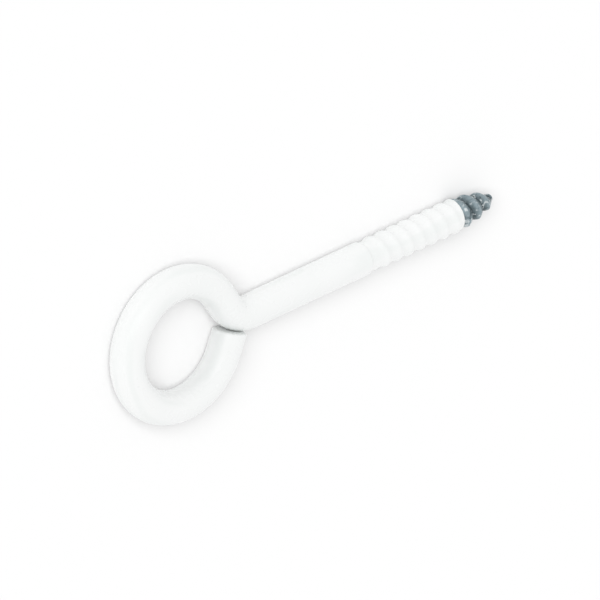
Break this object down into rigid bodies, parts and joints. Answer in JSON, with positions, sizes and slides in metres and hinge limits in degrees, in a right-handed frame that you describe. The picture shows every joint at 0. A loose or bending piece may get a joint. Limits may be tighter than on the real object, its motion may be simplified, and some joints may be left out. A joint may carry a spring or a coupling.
{
  "type": "screw eye",
  "caption": "Plastic-coated steel screw eye: a closed wire eye on a straight shank with a wood-screw thread and a bare gimlet point, for hanging or guiding cord and wire.",
  "frame": {"origin": "centre of the eye's round, on the wire's middle plane", "axes": "+X along the shank to the point, +Y across the eye, +Z square to the eye's plane and up as it lies"},
  "size_m": [0.0717, 0.0238, 0.005],
  "materials": {
    "zinc_steel": "zinc-plated, satin, slightly blue-grey",
    "white_coat": "smooth glossy dipped coat"
  },
  "bodies": {
    "root": {"steel_screw_eye": "zinc_steel", "plastic_coat": "white_coat"}
  },
  "joints": []
}
